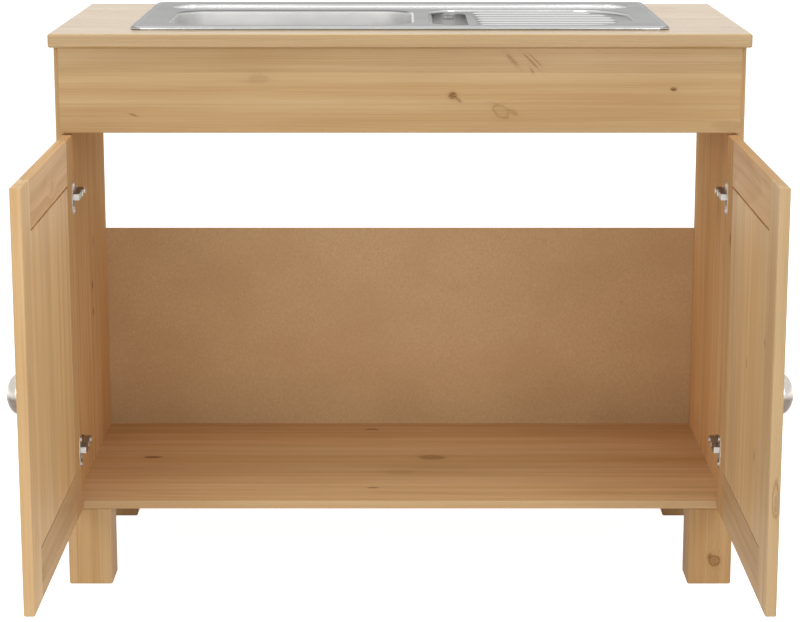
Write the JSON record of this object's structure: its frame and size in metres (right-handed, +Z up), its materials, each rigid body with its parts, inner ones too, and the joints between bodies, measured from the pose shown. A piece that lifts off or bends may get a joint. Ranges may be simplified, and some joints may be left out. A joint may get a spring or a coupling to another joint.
{
  "type": "kitchen sink unit",
  "caption": "Pine kitchen sink base unit on square legs with framed doors standing open and an inset steel sink with drainer.",
  "frame": {"origin": "on the floor, in the middle of the whole unit with its doors open", "axes": "+X to the right as seen from the front, +Y from the doors to the back, +Z up"},
  "size_m": [1.005, 0.965, 0.8295],
  "materials": {
    "pine": "clear lacquered pine, satin",
    "pine_inside": "clear lacquered pine, satin",
    "pine_worktop": "clear lacquered pine, satin",
    "hardboard": "matte brown hardboard",
    "beech_dowel": "bare wood",
    "stainless": "satin stainless steel",
    "nickel": "satin nickel plated",
    "zinc": "bright zinc plated",
    "foam_seal": "matte",
    "white_plastic": "matte"
  },
  "bodies": {
    "cabinet": {"apron_blocks": "pine_inside", "back_panel": "hardboard", "back_panel_nails": "zinc", "bottom_panel": "pine_inside", "bracket_screws": "zinc", "front_apron": "pine", "hinge_arm_lower_left": "nickel", "hinge_arm_lower_right": "nickel", "hinge_arm_screws": "zinc", "hinge_arm_upper_left": "nickel", "hinge_arm_upper_right": "nickel", "hinge_plate_screws": "zinc", "hinge_plates": "nickel", "leg_dowels": "beech_dowel", "leg_front_left": "pine", "leg_front_right": "pine", "leg_rear_left": "pine", "leg_rear_right": "pine", "overflow": "white_plastic", "rear_stretcher": "pine_inside", "scrap_nut": "white_plastic", "scrap_waste": "stainless", "side_dowels": "beech_dowel", "side_panel_left": "pine_inside", "side_panel_right": "pine_inside", "sink": "stainless", "sink_clip_screws": "zinc", "sink_clips": "zinc", "sink_seal": "foam_seal", "waste_body": "stainless", "waste_gasket": "foam_seal", "waste_nut": "white_plastic", "waste_outlet": "white_plastic", "worktop": "pine_worktop", "worktop_brackets": "zinc"},
    "door_left": {"door_left_bottom_rail": "pine", "door_left_free_stile": "pine", "door_left_handle": "nickel", "door_left_handle_screws": "zinc", "door_left_hinge_cup_lower": "nickel", "door_left_hinge_cup_screws": "zinc", "door_left_hinge_cup_upper": "nickel", "door_left_hinge_pins": "zinc", "door_left_hinge_stile": "pine", "door_left_panel": "pine", "door_left_top_rail": "pine"},
    "door_right": {"door_right_bottom_rail": "pine", "door_right_free_stile": "pine", "door_right_handle": "nickel", "door_right_handle_screws": "zinc", "door_right_hinge_cup_lower": "nickel", "door_right_hinge_cup_screws": "zinc", "door_right_hinge_cup_upper": "nickel", "door_right_hinge_pins": "zinc", "door_right_hinge_stile": "pine", "door_right_panel": "pine", "door_right_top_rail": "pine"},
    "strainer": {"waste_basket": "stainless"}
  },
  "joints": [
    {"name": "door_left_swing", "type": "hinge", "parent": "cabinet", "child": "door_left", "pos_m": [-0.4785, -0.0055, 0.40025], "axis": [0, 0, 1], "range_deg": [-2, 90]},
    {"name": "door_right_swing", "type": "hinge", "parent": "cabinet", "child": "door_right", "pos_m": [0.4785, -0.0055, 0.40025], "axis": [0, 0, 1], "range_deg": [-90, 2]},
    {"name": "strainer_lift", "type": "slide", "parent": "cabinet", "child": "strainer", "axis": [0, 0, 1], "range_m": [0, 0.12]}
  ]
}
